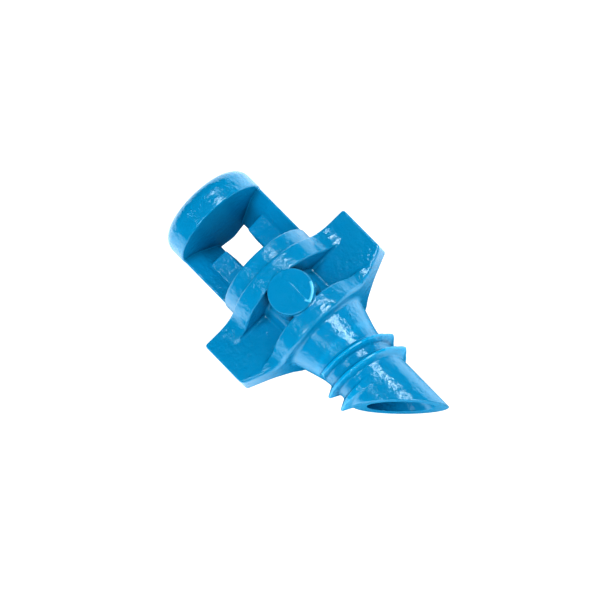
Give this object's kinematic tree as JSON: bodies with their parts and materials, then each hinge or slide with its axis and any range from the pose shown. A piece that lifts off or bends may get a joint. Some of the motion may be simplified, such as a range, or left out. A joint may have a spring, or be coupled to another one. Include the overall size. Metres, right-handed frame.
{
  "type": "drip emitter",
  "caption": "Screw-in micro spray jet for drip tubing: deflector disc on posts over a nozzle collar, winged grip, and a threaded hollow inlet cut to a slanting point.",
  "frame": {"origin": "centre of the deflector head's flat outer face", "axes": "+X along the water passage towards the pointed inlet, +Y along the grip wings, +Z out of the front boss and the open side of the spray fan"},
  "size_m": [0.0179, 0.0104, 0.0066],
  "materials": {
    "blue_plastic": "glossy moulded acetal, one colour all through"
  },
  "bodies": {
    "root": {"deflector_head": "blue_plastic", "left_post": "blue_plastic", "right_post": "blue_plastic", "nozzle_collar": "blue_plastic", "upper_flange": "blue_plastic", "lower_flange": "blue_plastic", "left_wing": "blue_plastic", "right_wing": "blue_plastic", "centre_barrel": "blue_plastic", "front_boss": "blue_plastic", "rear_boss": "blue_plastic", "inlet_stem": "blue_plastic", "thread_ridge_1": "blue_plastic", "thread_ridge_2": "blue_plastic"}
  },
  "joints": []
}
